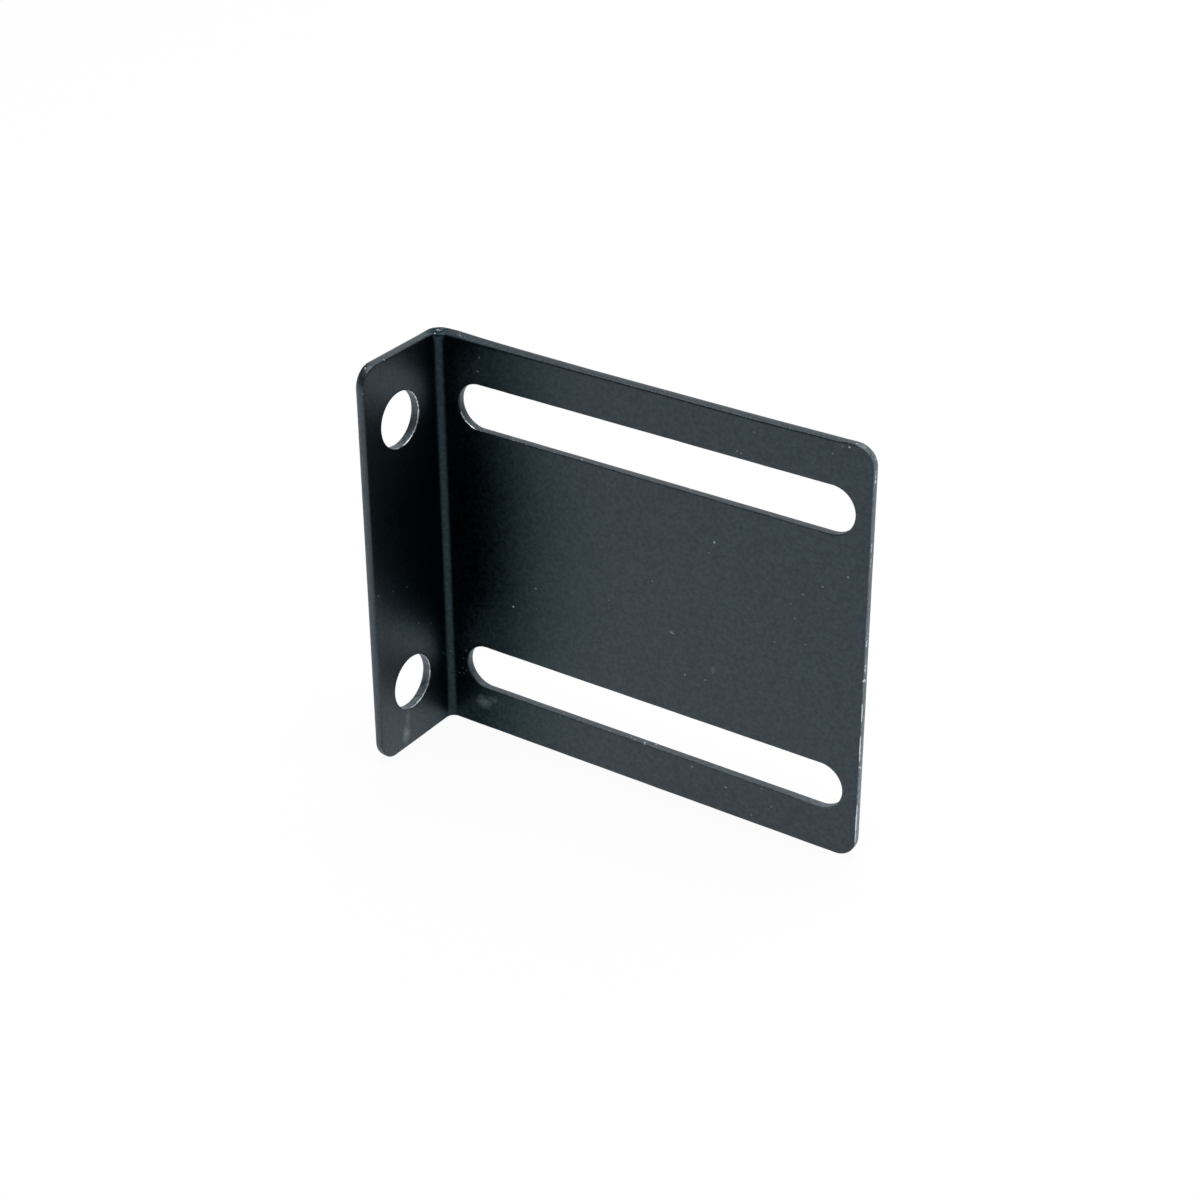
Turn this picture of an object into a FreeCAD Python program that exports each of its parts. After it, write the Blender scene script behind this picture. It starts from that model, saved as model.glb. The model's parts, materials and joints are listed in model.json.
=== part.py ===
import FreeCAD, Part
import math
import os
import Sketcher

# Power strip bracket: one steel sheet, punched, folded to an L and powder coated.
# The narrow flange is screwed to a rack rail through two round holes. The wide plate
# carries the power strip, whose screws sit anywhere along two long slots.
#
# The origin is midway between the two holes, on the flange's outer face.
# +X runs along the plate away from the flange, +Y from the flange's free edge to the
# plate, and +Z up. The bracket is the same above and below the XY plane.

# Name, millimetres, what it measures
SIZES = (
    ("sheet_thickness", 1.1, "steel with its coat"),
    ("bend_radius", 0.9, "inside of the fold"),
    ("bend_outer_radius", 1.4, "outside of the fold, which is pressed fuller than a free bend"),
    ("plate_length", 52.85, "flange's outer face to the plate's free edge"),
    ("flange_width", 13.5, "plate's outer face to the flange's free edge"),
    ("rack_pitch", 31.75, "between the holes, and between the slots"),
    ("end_distance", 7.55, "centre of a hole or slot to the nearest end"),
    ("hole_edge_distance", 5.65, "centre of a hole to the flange's free edge"),
    ("hole_diameter", 6.4, "clears a rack screw"),
    ("slot_width", 5.4, "clears a power strip's screw"),
    ("slot_fold_gap", 1.55, "flat sheet between the fold and a slot"),
    ("slot_end_wall", 1.65, "between a slot and the plate's free edge"),
    ("corner_radius", 2.2, "the four free corners, seen square on"),
    ("edge_radius", 0.2, "rounding of the outline's edges under the coat"),
    ("rim_chamfer", 0.1, "broken edges of the holes and slots"),
)

# Sizes that follow from those in the sheet
HEIGHT = "sizes.rack_pitch + 2 * sizes.end_distance"
FOLD_REACH = "(sizes.sheet_thickness + sizes.bend_radius)"
ROW_HEIGHT = "sizes.rack_pitch / 2"
SLOT_NEAR_CENTRE = f"{FOLD_REACH} + sizes.slot_fold_gap + sizes.slot_width / 2"
SLOT_FAR_CENTRE = "sizes.plate_length - sizes.slot_end_wall - sizes.slot_width / 2"

# Points of a line or arc, and a sketch's own origin and upright axis
START, END, CENTRE = 1, 2, 3
ORIGIN = (-1, START)
UPRIGHT = -2

# How near two lengths in millimetres, or two normals in radians, count as the same
SAME_LENGTH = 1e-4
SAME_NORMAL = 1e-2


def add_sizes(doc):
    """Put the driving sizes in a sheet, one aliased cell each."""
    sheet = doc.addObject("Spreadsheet::Sheet", "sizes")
    for row, (name, millimetres, meaning) in enumerate(SIZES, start=1):
        sheet.set(f"A{row}", name)
        sheet.set(f"B{row}", str(millimetres))
        sheet.setAlias(f"B{row}", name)
        sheet.set(f"C{row}", meaning)
    doc.recompute()
    return sheet


def origin_plane(body, role):
    """Find one of the body's own origin planes."""
    return next(plane for plane in body.Origin.OriginFeatures if plane.Role == role)


def add_sketch(body, name, role):
    """Start a sketch on one of the body's origin planes."""
    sketch = body.newObject("Sketcher::SketchObject", name)
    sketch.AttachmentSupport = (origin_plane(body, role), "")
    sketch.MapMode = "FlatFace"
    return sketch


def tie(sketch, *constraints):
    """Add geometric constraints, each a kind and what it joins."""
    for constraint in constraints:
        sketch.addConstraint(Sketcher.Constraint(*constraint))


def drive(sketch, name, expression, kind, *where):
    """Add a dimension to a sketch and bind it to the sheet."""
    value = float(sketch.evalExpression(expression))
    index = sketch.addConstraint(Sketcher.Constraint(kind, *where, value))
    sketch.renameConstraint(index, name)
    sketch.setExpression(f"Constraints.{name}", expression)


def line(x_start, y_start, x_end, y_end):
    return Part.LineSegment(FreeCAD.Vector(x_start, y_start), FreeCAD.Vector(x_end, y_end))


def arc(x, y, radius, first_degrees, last_degrees):
    circle = Part.Circle(FreeCAD.Vector(x, y), FreeCAD.Vector(0, 0, 1), radius)
    return Part.ArcOfCircle(circle, math.radians(first_degrees), math.radians(last_degrees))


def fold_sheet(body, sheet):
    """Draw the folded sheet's section and raise it to the bracket's height."""
    section = add_sketch(body, "section", "XY_Plane")
    thickness = sheet.sheet_thickness
    length = sheet.plate_length
    fold = thickness + sheet.bend_radius
    outer = sheet.bend_outer_radius
    free_edge = -sheet.hole_edge_distance
    outside = free_edge + sheet.flange_width
    inside = outside - thickness
    fold_start = outside - fold
    outline = (
        line(0, free_edge, 0, outside - outer),
        arc(outer, outside - outer, outer, 90, 180),
        line(outer, outside, length, outside),
        line(length, outside, length, inside),
        line(length, inside, fold, inside),
        arc(fold, fold_start, sheet.bend_radius, 90, 180),
        line(thickness, fold_start, thickness, free_edge),
        line(thickness, free_edge, 0, free_edge),
    )
    flange_out, fold_out, plate_out, plate_end, plate_in, fold_in, flange_in, flange_end = (
        section.addGeometry(piece) for piece in outline
    )
    tie(
        section,
        ("Tangent", flange_out, END, fold_out, END),
        ("Tangent", fold_out, START, plate_out, START),
        ("Coincident", plate_out, END, plate_end, START),
        ("Coincident", plate_end, END, plate_in, START),
        ("Tangent", plate_in, END, fold_in, START),
        ("Tangent", fold_in, END, flange_in, START),
        ("Coincident", flange_in, END, flange_end, START),
        ("Coincident", flange_end, END, flange_out, START),
        ("Vertical", flange_out),
        ("Horizontal", plate_out),
        ("Vertical", plate_end),
        ("Horizontal", plate_in),
        ("Vertical", flange_in),
        ("Horizontal", flange_end),
        ("PointOnObject", flange_out, START, UPRIGHT),
    )
    drive(section, "flange_sheet", "sizes.sheet_thickness", "DistanceX", flange_end, END, flange_end, START)
    drive(section, "plate_sheet", "sizes.sheet_thickness", "DistanceY", plate_end, END, plate_end, START)
    drive(section, "fold", "sizes.bend_radius", "Radius", fold_in)
    drive(section, "outer_fold", "sizes.bend_outer_radius", "Radius", fold_out)
    drive(section, "length", "sizes.plate_length", "DistanceX", flange_end, END, plate_end, START)
    drive(section, "width", "sizes.flange_width", "DistanceY", flange_end, END, plate_out, START)
    drive(section, "hole_line", "sizes.hole_edge_distance", "DistanceY", flange_end, END, *ORIGIN)

    folded = body.newObject("PartDesign::Pad", "folded_sheet")
    folded.Profile = section
    folded.SideType = "Symmetric"
    folded.setExpression("Length", HEIGHT)
    return folded


def cut_hole(body, sheet):
    """Cut the upper screw hole in the flange."""
    sketch = add_sketch(body, "hole_outline", "YZ_Plane")
    height = float(sketch.evalExpression(ROW_HEIGHT))
    centre = FreeCAD.Vector(0, height)
    circle = sketch.addGeometry(Part.Circle(centre, FreeCAD.Vector(0, 0, 1), sheet.hole_diameter / 2))
    tie(sketch, ("PointOnObject", circle, CENTRE, UPRIGHT))
    drive(sketch, "row", ROW_HEIGHT, "DistanceY", *ORIGIN, circle, CENTRE)
    drive(sketch, "diameter", "sizes.hole_diameter", "Diameter", circle)

    hole = body.newObject("PartDesign::Pocket", "rail_hole")
    hole.Profile = sketch
    hole.Reversed = True
    hole.setExpression("Length", "sizes.sheet_thickness")
    return hole


def cut_slot(body, sheet):
    """Cut the upper slot along the plate."""
    sketch = add_sketch(body, "slot_outline", "XZ_Plane")
    radius = sheet.slot_width / 2
    height = float(sketch.evalExpression(ROW_HEIGHT))
    near = float(sketch.evalExpression(SLOT_NEAR_CENTRE))
    far = float(sketch.evalExpression(SLOT_FAR_CENTRE))
    outline = (
        arc(far, height, radius, -90, 90),
        line(far, height + radius, near, height + radius),
        arc(near, height, radius, 90, 270),
        line(near, height - radius, far, height - radius),
    )
    far_end, top, near_end, bottom = (sketch.addGeometry(piece) for piece in outline)
    tie(
        sketch,
        ("Tangent", far_end, END, top, START),
        ("Tangent", top, END, near_end, START),
        ("Tangent", near_end, END, bottom, START),
        ("Tangent", bottom, END, far_end, START),
        ("Horizontal", top),
        ("Horizontal", bottom),
    )
    drive(sketch, "width", "sizes.slot_width", "Diameter", far_end)
    drive(sketch, "row", ROW_HEIGHT, "DistanceY", *ORIGIN, far_end, CENTRE)
    drive(sketch, "near", SLOT_NEAR_CENTRE, "DistanceX", *ORIGIN, near_end, CENTRE)
    drive(sketch, "far", SLOT_FAR_CENTRE, "DistanceX", *ORIGIN, far_end, CENTRE)

    slot = body.newObject("PartDesign::Pocket", "strip_slot")
    slot.Profile = sketch
    slot.Type = "ThroughAll"
    return slot


def mirror_down(body, features):
    """Repeat the upper hole and slot in the lower half."""
    mirrored = body.newObject("PartDesign::Mirrored", "lower_row")
    mirrored.Originals = features
    mirrored.MirrorPlane = (origin_plane(body, "XY_Plane"), [""])
    body.Tip = mirrored
    return mirrored


def free_corners(shape):
    """Edges across the sheet's thickness at the ends of its two free edges."""
    box = shape.BoundBox
    names = []
    for number, edge in enumerate(shape.Edges, start=1):
        middle = edge.CenterOfMass
        at_top_or_bottom = box.ZMax - abs(middle.z) < SAME_LENGTH
        at_plate_end = box.XMax - middle.x < SAME_LENGTH
        at_flange_end = middle.y - box.YMin < SAME_LENGTH
        if at_top_or_bottom and (at_plate_end or at_flange_end):
            names.append(f"Edge{number}")
    return names


def opening_rims(shape):
    """Edges round the holes and slots, which are the inner loops of the sheet's faces."""
    loops = [loop for face in shape.Faces for loop in face.Wires if not loop.isSame(face.OuterWire)]
    rims = [edge for loop in loops for edge in loop.Edges]
    return [
        f"Edge{number}"
        for number, edge in enumerate(shape.Edges, start=1)
        if any(edge.isSame(rim) for rim in rims)
    ]


def outline_edges(shape):
    """Edges where the sheet's faces meet its outer cut walls: the sharp ones that aren't rims."""
    rims = opening_rims(shape)
    names = []
    for number, edge in enumerate(shape.Edges, start=1):
        middle = edge.valueAt((edge.FirstParameter + edge.LastParameter) / 2)
        faces = shape.ancestorsOfType(edge, Part.Face)
        normals = [face.normalAt(*face.Surface.parameter(middle)) for face in faces]
        sharp = len(normals) == 2 and normals[0].getAngle(normals[1]) > SAME_NORMAL
        if sharp and f"Edge{number}" not in rims:
            names.append(f"Edge{number}")
    return names


def dress_edges(body, kind, name, base, choose, size, value):
    """Fillet or chamfer the edges of the base that the choosing function names."""
    body.Document.recompute()
    dressed = body.newObject(f"PartDesign::{kind}", name)
    dressed.Base = (base, choose(base.Shape))
    dressed.setExpression(size, value)
    return dressed


def check_cut(before, after, area, thickness):
    """Stop if a cut didn't take out its own area of sheet."""
    removed = before.Shape.Volume - after.Shape.Volume
    if abs(removed - area * thickness) > SAME_LENGTH * area:
        raise RuntimeError(f"{after.Name} took out {removed:.4f} cubic mm")


def build_bracket(doc, sheet):
    """Make the whole bracket as one body."""
    body = doc.addObject("PartDesign::Body", "bracket")
    body.Label = "bracket"
    folded = fold_sheet(body, sheet)
    hole = cut_hole(body, sheet)
    slot = cut_slot(body, sheet)
    both_rows = mirror_down(body, [hole, slot])
    doc.recompute()

    round_area = math.pi / 4
    slot_straight = float(body.evalExpression(f"{SLOT_FAR_CENTRE} - ({SLOT_NEAR_CENTRE})"))
    hole_area = round_area * sheet.hole_diameter**2
    slot_area = round_area * sheet.slot_width**2 + slot_straight * sheet.slot_width
    check_cut(folded, hole, hole_area, sheet.sheet_thickness)
    check_cut(hole, slot, slot_area, sheet.sheet_thickness)
    check_cut(slot, both_rows, hole_area + slot_area, sheet.sheet_thickness)

    corners = dress_edges(
        body, "Fillet", "corners", both_rows, free_corners, "Radius", "sizes.corner_radius"
    )
    softened = dress_edges(
        body, "Fillet", "softened_outline", corners, outline_edges, "Radius", "sizes.edge_radius"
    )
    dress_edges(body, "Chamfer", "broken_rims", softened, opening_rims, "Size", "sizes.rim_chamfer")
    doc.recompute()
    return body


def check_document(doc, body):
    """Stop if anything in the document failed or the finished shape isn't one sound solid."""
    for item in doc.Objects:
        if "Invalid" in item.State or "Error" in item.State:
            raise RuntimeError(f"{item.Name} failed: {item.State}")
    if body.Shape.isNull() or not body.Shape.isValid() or len(body.Shape.Solids) != 1:
        raise RuntimeError(f"{body.Label} isn't one sound solid")


def main():
    doc = FreeCAD.newDocument("power_strip_bracket")
    sheet = add_sizes(doc)
    body = build_bracket(doc, sheet)
    check_document(doc, body)
    os.makedirs("parts", exist_ok=True)
    body.Shape.exportStep(f"parts/{body.Label}.step")


main()
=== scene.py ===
"""Looks of the power strip bracket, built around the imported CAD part.

The bracket is one steel sheet, punched, folded once and powder coated. Its visual mesh is made the
same way: the flat blank gets its openings and its rounded, slightly uneven cut edges, and is then
folded to an L. Lengths are in mm until the mesh is made. On the blank, s runs across the fold line
from the flange to the plate, z runs along it, and w goes into the sheet from its inner face.
"""
import json
import math
from collections import namedtuple

import bpy
import numpy as np
from mathutils import Matrix, Vector, geometry, noise


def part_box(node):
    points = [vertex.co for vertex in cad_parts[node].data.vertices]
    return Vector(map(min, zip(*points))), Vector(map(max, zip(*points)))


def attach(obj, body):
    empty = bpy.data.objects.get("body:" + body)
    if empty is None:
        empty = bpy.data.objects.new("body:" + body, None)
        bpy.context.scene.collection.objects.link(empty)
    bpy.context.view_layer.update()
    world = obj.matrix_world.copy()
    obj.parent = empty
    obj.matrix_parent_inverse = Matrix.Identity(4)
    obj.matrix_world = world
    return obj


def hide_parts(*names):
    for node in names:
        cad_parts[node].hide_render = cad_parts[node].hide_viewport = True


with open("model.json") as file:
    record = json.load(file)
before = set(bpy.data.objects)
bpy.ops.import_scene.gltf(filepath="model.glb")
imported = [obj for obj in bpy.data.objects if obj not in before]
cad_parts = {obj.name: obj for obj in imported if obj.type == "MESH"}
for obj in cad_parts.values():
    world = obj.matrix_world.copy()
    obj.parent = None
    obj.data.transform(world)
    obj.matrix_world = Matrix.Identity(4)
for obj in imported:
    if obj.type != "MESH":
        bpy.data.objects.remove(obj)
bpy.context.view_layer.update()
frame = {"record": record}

MM = 0.001
QUARTER_TURN = math.pi / 2
# The sheet's two faces, each with a chart of its own in the flat layout
INNER, OUTER = 0, 1


def mount(name):
    """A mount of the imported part."""
    return next(m for m in frame["record"]["mounts"] if m["name"] == name)


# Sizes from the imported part
LOW, HIGH = (np.array(corner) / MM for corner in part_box("bracket"))
HOLES = mount("rail_holes")["dims"]
SLOT = mount("upper_slot")
HALF_HEIGHT = HIGH[2]
HALF_PITCH = HOLES["spacing_y_mm"] / 2
SLOT_MIDDLE = SLOT["pos_m"][0] / MM

# Sizes of the sheet that the record doesn't list
SHEET = 1.1
BEND_INSIDE = 0.9
BEND_OUTSIDE = 1.4
CORNER_RADIUS = 2.2

# Thickness of the coat on the outline, in the slots and in the holes, and the openings with it
OUTLINE_COAT = 0.12
SLOT_COAT = 0.05
HOLE_COAT = 0.06
SLOT_HALF = np.array([SLOT["dims"]["slot_length_mm"] / 2, SLOT["dims"]["hole_r_mm"]]) - SLOT_COAT
HOLE_RADIUS = HOLES["hole_r_mm"] - HOLE_COAT

# The fold: the axis of its inner face, and the lengths of the flat blank on both sides of it
FOLD_REACH = BEND_INSIDE + SHEET
FOLD_X = LOW[0] + FOLD_REACH
FOLD_Y = HIGH[1] - FOLD_REACH
BEND_LENGTH = QUARTER_TURN * (BEND_INSIDE + SHEET / 2)
FLANGE_LENGTH = FOLD_Y - LOW[1]
PLATE_LENGTH = HIGH[0] - FOLD_X

# Rounding of the cut edges: how far it reaches into the face and into the thickness, on the inner
# and on the outer side. The coat softens the outline and the slots, and the holes stay crisp.
OUTLINE_ROUND = ((0.24, 0.10), (0.28, 0.75))
SLOT_ROUND = ((0.18, 0.09), (0.18, 0.50))
HOLE_ROUND = ((0.04, 0.06), (0.20, 0.22))
# Share of the inner rounding that is left at the plate's end
PLATE_END_ROUND = 0.35

# Unevenness of the cut edges: a long wave and a fine grain
EDGE_WAVE = 0.022
EDGE_WAVE_LENGTH = 3.5
EDGE_GRAIN = 0.008
EDGE_GRAIN_LENGTH = 0.55

# Mesh of the cut edges: steps along them, down their walls and over the two roundings
EDGE_STEP = 0.2
LEAST_ARC_STEPS = 8
WALL_STEP = 0.16
LEAST_WALL_STEPS = 2
INNER_STEPS = 5
OUTER_STEPS = 8

# Mesh of the faces: steps of the grid on the flat faces and across the bend, and how far the grid,
# and on the inner face all points but the specks', keep from the edges' rounding
FACE_STEP = 0.85
BEND_STEP = 0.12
GRID_MARGIN = 0.62
POINT_MARGIN = 0.1
# A row of points runs along every edge, this far from its rounding, one for every second edge point
SUPPORT_OFFSET = 0.25
SUPPORT_STRIDE = 2
# A triangle belongs to the sheet if its middle is this far off the openings
OPENING_MARGIN = 0.01
# Settings of the triangulation: only what lies inside the loops, and when points are the same
FILL_INSIDE = 1
SAME_POINT = 1e-6

# Space round the two charts of the flat layout, which lie one above the other in a square
CHART_MARGIN = 1.2


def on_flange(y):
    """The place s of a point on the flange."""
    return y - FOLD_Y


def on_plate(x):
    """The place s of a point on the plate."""
    return x - FOLD_X + BEND_LENGTH


class CutEdge(namedtuple("CutEdge", "middle half radius rounds")):
    """A cut edge of the blank as a rounded rectangle."""

    def inset(self, side):
        """How far the rounding reaches into the inner or the outer face."""
        return self.rounds[side][0]


def hole_edge(z):
    return CutEdge(np.array([on_flange(0), z]), np.full(2, HOLE_RADIUS), HOLE_RADIUS, HOLE_ROUND)


def slot_edge(z):
    return CutEdge(np.array([on_plate(SLOT_MIDDLE), z]), SLOT_HALF, SLOT_HALF[1], SLOT_ROUND)


# The cut edges and their numbers
BLANK_MIDDLE = np.array([(BEND_LENGTH + PLATE_LENGTH - FLANGE_LENGTH) / 2, 0])
BLANK_HALF = np.array([(BEND_LENGTH + PLATE_LENGTH + FLANGE_LENGTH) / 2, HALF_HEIGHT]) + OUTLINE_COAT
OUTLINE, UPPER_HOLE, UPPER_SLOT, LOWER_HOLE, LOWER_SLOT = range(5)
EDGES = (
    CutEdge(BLANK_MIDDLE, BLANK_HALF, CORNER_RADIUS + OUTLINE_COAT, OUTLINE_ROUND),
    hole_edge(HALF_PITCH),
    slot_edge(HALF_PITCH),
    hole_edge(-HALF_PITCH),
    slot_edge(-HALF_PITCH),
)

# The upper edge isn't quite straight, and the fold has squeezed it up: s, rise of the inner rim,
# rise of the outer rim
UPPER_RISE = np.array((
    (on_flange(-3.0), -0.14, 0.05),
    (on_flange(5.0), -0.14, 0.05),
    (BEND_LENGTH / 2, -0.34, 0.14),
    (on_plate(2.0), -0.40, 0.24),
    (on_plate(3.0), -0.40, 0.27),
    (on_plate(5.0), -0.40, 0.17),
    (on_plate(8.0), -0.40, 0.08),
    (on_plate(12.0), -0.40, 0.00),
    (on_plate(20.0), -0.40, -0.10),
    (on_plate(40.0), -0.38, -0.12),
    (on_plate(49.2), -0.22, -0.06),
    (on_plate(49.8), -0.12, -0.05),
))
RISE_DEPTH = 1.6
# Inside the fold, the sheet is thicker near the upper edge
FLARE = 0.25
FLARE_DEPTH = 1.4

# Inside the fold the powder lies thin and matt, and this also paints shade: it darkens the gloss in and
# beside the fold, most of all far from the fold's open ends: s, value near the ends, value at mid height
DULLNESS_AND_PAINTED_SHADE = np.array((
    (on_flange(-5.6), 0.0, 0.12),
    (on_flange(-4.0), 0.0, 0.30),
    (on_flange(0.0), 0.04, 0.52),
    (on_flange(4.0), 0.26, 0.66),
    (-0.1, 0.68, 0.82),
    (0.3 * BEND_LENGTH, 0.38, 0.38),
    (0.7 * BEND_LENGTH, 0.38, 0.38),
    (BEND_LENGTH + 0.1, 0.74, 0.82),
    (on_plate(5.0), 0.74, 0.88),
    (on_plate(8.0), 0.50, 0.70),
    (on_plate(11.0), 0.32, 0.45),
    (on_plate(14.0), 0.17, 0.26),
    (on_plate(17.0), 0.07, 0.14),
    (on_plate(21.0), 0.0, 0.04),
    (on_plate(25.0), 0.0, 0.0),
))
# Heights above and below the middle where the matt coat and painted shade start to change, and where they
# have changed
DULL_AND_SHADE_HEIGHTS = (6.0, 13.0)
# How far into the sheet from the inner face the matt coat and painted shade reach
DULL_AND_SHADE_DEPTH = 0.3
# At the fold the upper edge's gloss is darkened too: by how much, where, how far along the edge and down
# from it, and how steeply it fades
APEX_DULLNESS = 0.62
APEX_MIDDLE = BEND_LENGTH / 2
APEX_HALF = 1.5
APEX_DEPTH = 0.3
APEX_SLOPE = 1.6

# Marks on the inner face, with the turn in degrees
Mark = namedtuple("Mark", "s z half_length half_width turn strength")
# Pale specks
SPECKS = [Mark(*row) for row in (
    (on_plate(50.20), 23.13, 0.13, 0.12, 0, 2.0),
    (on_plate(49.45), 23.06, 0.16, 0.07, 105, 0.55),
    (on_plate(10.08), -6.81, 0.14, 0.12, 20, 1.7),
    (on_plate(35.38), 8.48, 0.14, 0.12, 70, 1.8),
    (on_plate(30.45), -3.60, 0.36, 0.08, -22, 1.0),
    (on_plate(37.35), -20.27, 0.15, 0.12, 0, 0.8),
    (on_plate(50.71), 9.10, 0.15, 0.13, 40, 0.75),
    (on_plate(33.12), -19.21, 0.14, 0.11, 10, 0.65),
    (on_plate(32.07), -8.14, 0.13, 0.11, 0, 0.83),
    (on_plate(40.55), -22.58, 0.13, 0.11, 0, 0.83),
    (on_plate(42.95), -20.68, 0.12, 0.10, 0, 0.75),
    (on_plate(37.79), 19.33, 0.12, 0.10, 30, 0.75),
    (on_plate(38.25), 19.19, 0.12, 0.09, 0, 0.68),
    (on_plate(45.77), 5.66, 0.12, 0.10, 0, 0.75),
    (on_plate(47.94), 7.20, 0.12, 0.10, 0, 0.68),
    (on_plate(34.62), -7.94, 0.12, 0.10, 0, 0.68),
    (on_plate(44.92), 2.65, 0.12, 0.10, 60, 0.68),
    (on_plate(27.98), 1.78, 0.11, 0.09, 0, 0.6),
    (on_plate(39.66), 21.89, 0.11, 0.09, 0, 0.6),
    (on_plate(13.12), -3.64, 0.13, 0.11, 0, 0.75),
    (on_plate(42.71), -0.77, 0.11, 0.09, 0, 0.52),
    (on_plate(22.58), -2.12, 0.11, 0.09, 0, 0.52),
    (on_plate(34.77), 7.09, 0.11, 0.09, 0, 0.52),
    (on_plate(35.50), -6.50, 0.50, 0.06, -80, 0.3),
    (on_plate(46.27), 0.09, 0.11, 0.09, 0, 0.52),
    (on_plate(44.42), 4.20, 0.11, 0.09, 0, 0.52),
    (on_plate(48.42), 21.89, 0.13, 0.11, 0, 0.6),
    (on_plate(6.47), 21.70, 0.16, 0.12, 80, 0.45),
    (on_plate(6.25), 20.10, 0.15, 0.11, 15, 0.45),
    (on_plate(3.45), -14.45, 0.14, 0.11, 50, 0.52),
    (on_plate(2.88), -16.91, 0.13, 0.11, 0, 0.52),
    (on_flange(-0.24), -3.86, 0.14, 0.11, 0, 0.45),
    (on_flange(-2.59), -3.30, 0.13, 0.11, 0, 0.45),
    (on_flange(3.59), -10.19, 0.13, 0.10, 30, 0.38),
    (on_flange(1.48), -9.17, 0.14, 0.10, 0, 0.45),
    (on_flange(5.55), -14.90, 0.16, 0.11, 60, 0.45),
    (on_plate(3.02), -15.60, 0.14, 0.12, 0, 0.3),
    (on_plate(2.38), -17.66, 0.16, 0.13, 0, 0.38),
    (on_plate(3.00), -17.55, 0.16, 0.13, 0, 0.38),
    (on_plate(3.39), -17.07, 0.15, 0.12, 0, 0.34),
    (0.30, -15.40, 0.14, 0.12, 0, 0.3),
    (1.30, -15.10, 0.14, 0.12, 0, 0.32),
    (on_plate(41.70), -18.90, 0.12, 0.10, 0, 0.55),
    (on_flange(-5.10), -2.72, 0.22, 0.06, -12, 0.7),
)]
# Rings of points round a speck: reach and strength, as shares of the speck's own
SPECK_RINGS = ((0.55, 0.75), (1.0, 0.15), (1.35, 0.0))
SPECK_SIDES = 8

# Blotchy smears
SMEARS = [Mark(*row) for row in (
    (on_plate(5.65), -20.4, 1.15, 0.90, 10, 0.85),
    (on_plate(6.80), -19.8, 1.10, 0.55, 25, 0.42),
    (on_flange(-1.15), -19.8, 1.3, 0.42, 78, 1.00),
    (on_flange(-1.55), -21.9, 1.20, 0.75, 84, 1.90),
)]
SMEAR_STEP = 0.16
# As shares of a smear's own size: its square grid, how much of the grid is kept, where it has faded
SMEAR_GRID = 1.3
SMEAR_KEPT = 1.25
SMEAR_FADED = 1.15

# Smears on the openings' walls, which are stronger towards the lower slot's far end
OPENING_SMEAR = {UPPER_HOLE: 0.50, UPPER_SLOT: 0.05, LOWER_HOLE: 0.85, LOWER_SLOT: 0.27}
SLOT_END_START = on_plate(45)
SLOT_END_RUN = 4
SLOT_END_GAIN = 2
# Smears on the outline's wall: at the flange's end, and at the plate's end, where they are stronger
# low down and go on round the upper corner, near its diagonal
FLANGE_END_SMEAR = 0.5
PLATE_END_SMEAR = 1.1
LOW_START = -8
LOW_RUN = 8
LOW_GAIN = 0.8
DIAGONAL = (0.7, 0.7)
DIAGONAL_START = 0.70
DIAGONAL_RUN = 0.2
DIAGONAL_SHARE = 0.7

# Bare steel along the holes' inner rims: hole, first and last angle in degrees, strength
RIM_WEAR = (
    (UPPER_HOLE, -84, -18, 1.10),
    (UPPER_HOLE, -18, 64, 0.98),
    (UPPER_HOLE, -118, -96, 0.75),
    (LOWER_HOLE, -100, -6, 1.00),
    (LOWER_HOLE, -6, 76, 0.82),
    (LOWER_HOLE, -134, -118, 0.95),
)
# How it ends along the rim, in radians, and how it lies across it: its middle's distance from the
# face, its reach from there, and how steeply it fades
RIM_WEAR_FADE = 0.10
RIM_WEAR_MIDDLE = 0.10
RIM_WEAR_REACH = 0.15
RIM_WEAR_SLOPE = 1.3

# The cut edges that carry other wear
TOP = HALF_HEIGHT + OUTLINE_COAT
PLATE_END = BEND_LENGTH + PLATE_LENGTH + OUTLINE_COAT
FLANGE_END = -FLANGE_LENGTH - OUTLINE_COAT
UPPER_LIP = HALF_PITCH - SLOT_HALF[1]
LOWER_LIP = -HALF_PITCH - SLOT_HALF[1]


# Places s, z on those edges
def at_top(s):
    return s, TOP


def at_plate_end(z):
    return PLATE_END, z


def at_flange_end(z):
    return FLANGE_END, z


def at_corner(centre, way, degrees):
    """A place on an upper corner of the outline, by the angle from the sheet's end."""
    turn = math.radians(degrees)
    radius = CORNER_RADIUS + OUTLINE_COAT
    s = centre + way * radius * math.cos(turn)
    return s, HALF_HEIGHT - CORNER_RADIUS + radius * math.sin(turn)


def at_plate_corner(degrees):
    return at_corner(BEND_LENGTH + PLATE_LENGTH - CORNER_RADIUS, 1, degrees)


def at_flange_corner(degrees):
    return at_corner(-FLANGE_LENGTH + CORNER_RADIUS, -1, degrees)


def at_upper_lip(x):
    return on_plate(x), UPPER_LIP


def at_lower_lip(x):
    return on_plate(x), LOWER_LIP


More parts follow.
